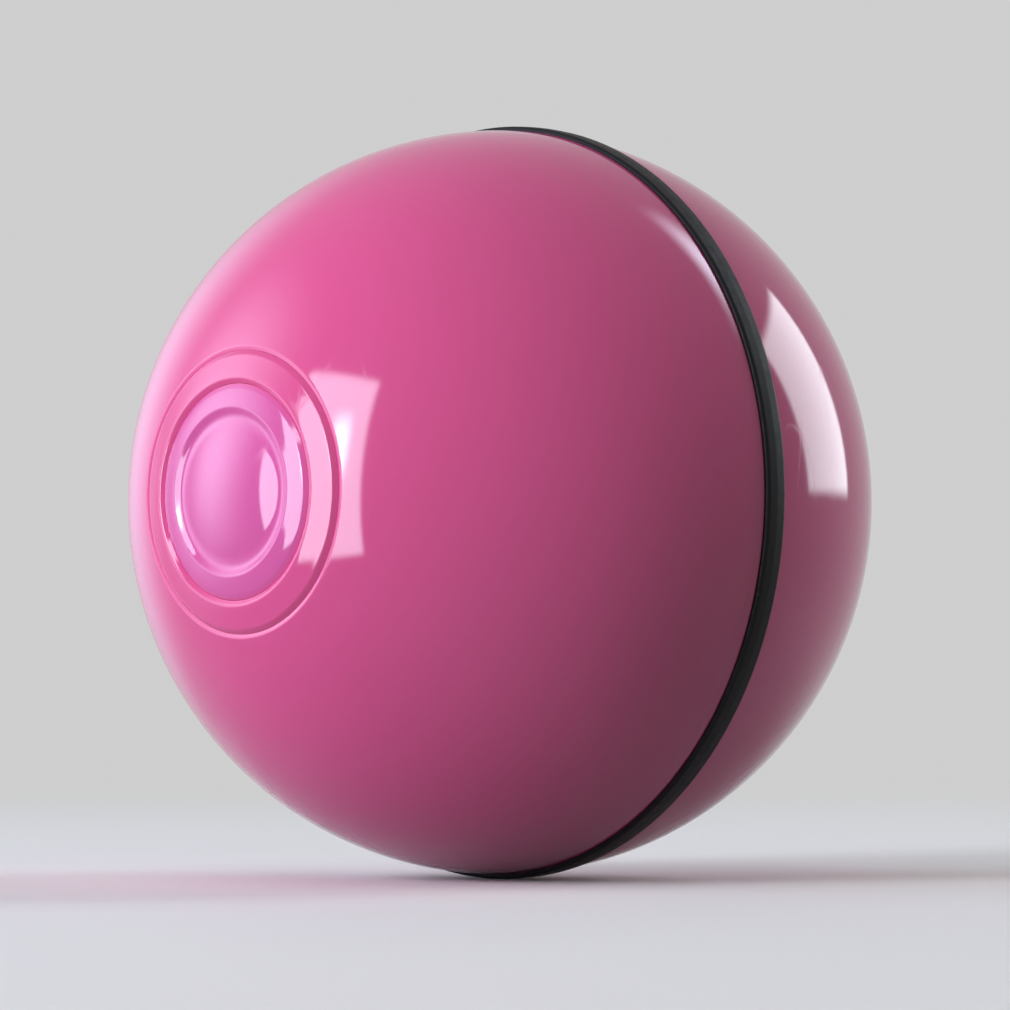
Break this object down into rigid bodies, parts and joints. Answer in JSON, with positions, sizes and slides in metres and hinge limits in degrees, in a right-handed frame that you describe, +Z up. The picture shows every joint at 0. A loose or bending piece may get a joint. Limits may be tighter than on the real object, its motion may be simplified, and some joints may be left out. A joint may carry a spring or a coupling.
{
  "type": "self-rolling pet toy ball",
  "caption": "Hollow two-shell ball with a rubber tread round its middle, a pole button, and a geared pendulum carriage inside that makes it roll",
  "frame": {"origin": "centre of the ball, on its rolling axle", "axes": "+Y along the rolling axle, from the pole with the button to the fixed pole; +Z up"},
  "size_m": [0.0648, 0.0636, 0.0648],
  "materials": {
    "pink_shell": "high gloss moulded ABS, rose pink",
    "pink_cap": "high gloss moulded ABS, rose pink",
    "black_rubber": "soft black rubber, satin",
    "seal_rubber": "grey silicone",
    "white_frame": "natural white moulded plastic, fine texture",
    "gear_plastic": "ivory acetal, smooth",
    "bush_plastic": "black acetal, smooth",
    "steel": "bright steel",
    "spring_steel": "spring steel wire",
    "zinc_screw": "zinc plated steel",
    "weight_iron": "raw steel block, dull grey",
    "motor_steel": "nickel plated can",
    "magnet": "sintered ferrite",
    "copper": "enamelled copper winding",
    "brass": "turned brass",
    "motor_cap": "moulded nylon",
    "foil": "aluminium laminate pouch",
    "foam": "closed cell foam",
    "board": "glass epoxy with green solder mask",
    "chips": "moulded component bodies",
    "lamp_lens": "milky red lamp lens",
    "sensor": "plated sensor can",
    "black_plastic": "black moulded plastic",
    "red_black_wire": "soft insulation, satin"
  },
  "bodies": {
    "left_half": {"left_shell": "pink_shell", "tread_band": "black_rubber", "pole_bezel": "pink_cap", "button_spring": "spring_steel", "hub_gear": "gear_plastic", "hub_screws": "zinc_screw", "hub_clip": "spring_steel"},
    "button": {"button_cap": "pink_cap", "push_rod": "steel"},
    "seal": {"seal_ring": "seal_rubber"},
    "right_half": {"right_shell": "pink_shell", "right_pole_cap": "pink_cap", "right_bush": "bush_plastic"},
    "carriage": {"carriage_tub": "white_frame", "carriage_lid": "white_frame", "lid_screws": "zinc_screw", "left_bush": "bush_plastic", "pivot_pin": "steel", "gear_plate": "white_frame", "gearbox_screws": "zinc_screw", "gear_pin": "steel", "motor_can": "motor_steel", "motor_end_cap": "motor_cap", "motor_magnets": "magnet", "motor_screws": "zinc_screw", "motor_wires": "red_black_wire", "battery_tray": "white_frame", "tray_screws": "zinc_screw", "counterweight": "weight_iron", "battery_pad": "foam", "battery": "foil", "battery_wires": "red_black_wire", "main_board": "board", "board_screws": "zinc_screw", "board_components": "chips", "charge_light": "lamp_lens", "vibration_sensor": "sensor", "usb_port": "steel", "usb_tongue": "black_plastic", "switch_board": "board", "switch_body": "black_plastic"},
    "switch_plunger": {"switch_plunger": "black_plastic"},
    "motor_rotor": {"motor_shaft": "steel", "motor_armature": "copper", "motor_pinion": "brass"},
    "first_gear": {"first_gear": "gear_plastic"},
    "output_shaft": {"output_wheel": "gear_plastic", "output_shaft": "steel", "drive_pinion": "brass"}
  },
  "joints": [
    {"name": "button_press", "type": "slide", "parent": "left_half", "child": "button", "axis": [0, 1, 0], "range_m": [0, 0.0005], "stiffness_N_per_m": 1200, "springref_m": -0.0005, "deforming": ["button_spring"]},
    {"name": "drive_spin", "type": "hinge", "parent": "left_half", "child": "carriage", "pos_m": [0, 0, 0], "axis": [0, 1, 0], "continuous": true},
    {"name": "plunger_press", "type": "slide", "parent": "carriage", "child": "switch_plunger", "axis": [0, 1, 0], "range_m": [0, 0.0005]},
    {"name": "output_spin", "type": "hinge", "parent": "carriage", "child": "output_shaft", "pos_m": [-0.00726, 0, -0.008], "axis": [0, 1, 0], "continuous": true},
    {"name": "first_gear_spin", "type": "hinge", "parent": "carriage", "child": "first_gear", "pos_m": [0.00146, 0, -0.00922], "axis": [0, 1, 0], "continuous": true},
    {"name": "rotor_spin", "type": "hinge", "parent": "carriage", "child": "motor_rotor", "pos_m": [0.01066, 0, -0.00922], "axis": [0, 1, 0], "continuous": true},
    {"name": "cover_lift", "type": "slide", "parent": "left_half", "child": "seal", "axis": [0, 1, 0], "range_m": [0, 0.036]},
    {"name": "cover_twist", "type": "hinge", "parent": "seal", "child": "right_half", "pos_m": [0, 0, 0], "axis": [0, 1, 0], "range_deg": [0, 1080]}
  ],
  "couplings": [
    {"joint": "plunger_press", "follows": "button_press", "ratio": 1},
    {"joint": "output_spin", "follows": "drive_spin", "ratio": 4.4},
    {"joint": "first_gear_spin", "follows": "drive_spin", "ratio": -14.96},
    {"joint": "rotor_spin", "follows": "drive_spin", "ratio": 53.856},
    {"joint": "cover_lift", "follows": "cover_twist", "m_per_rad": 0.0019099}
  ]
}
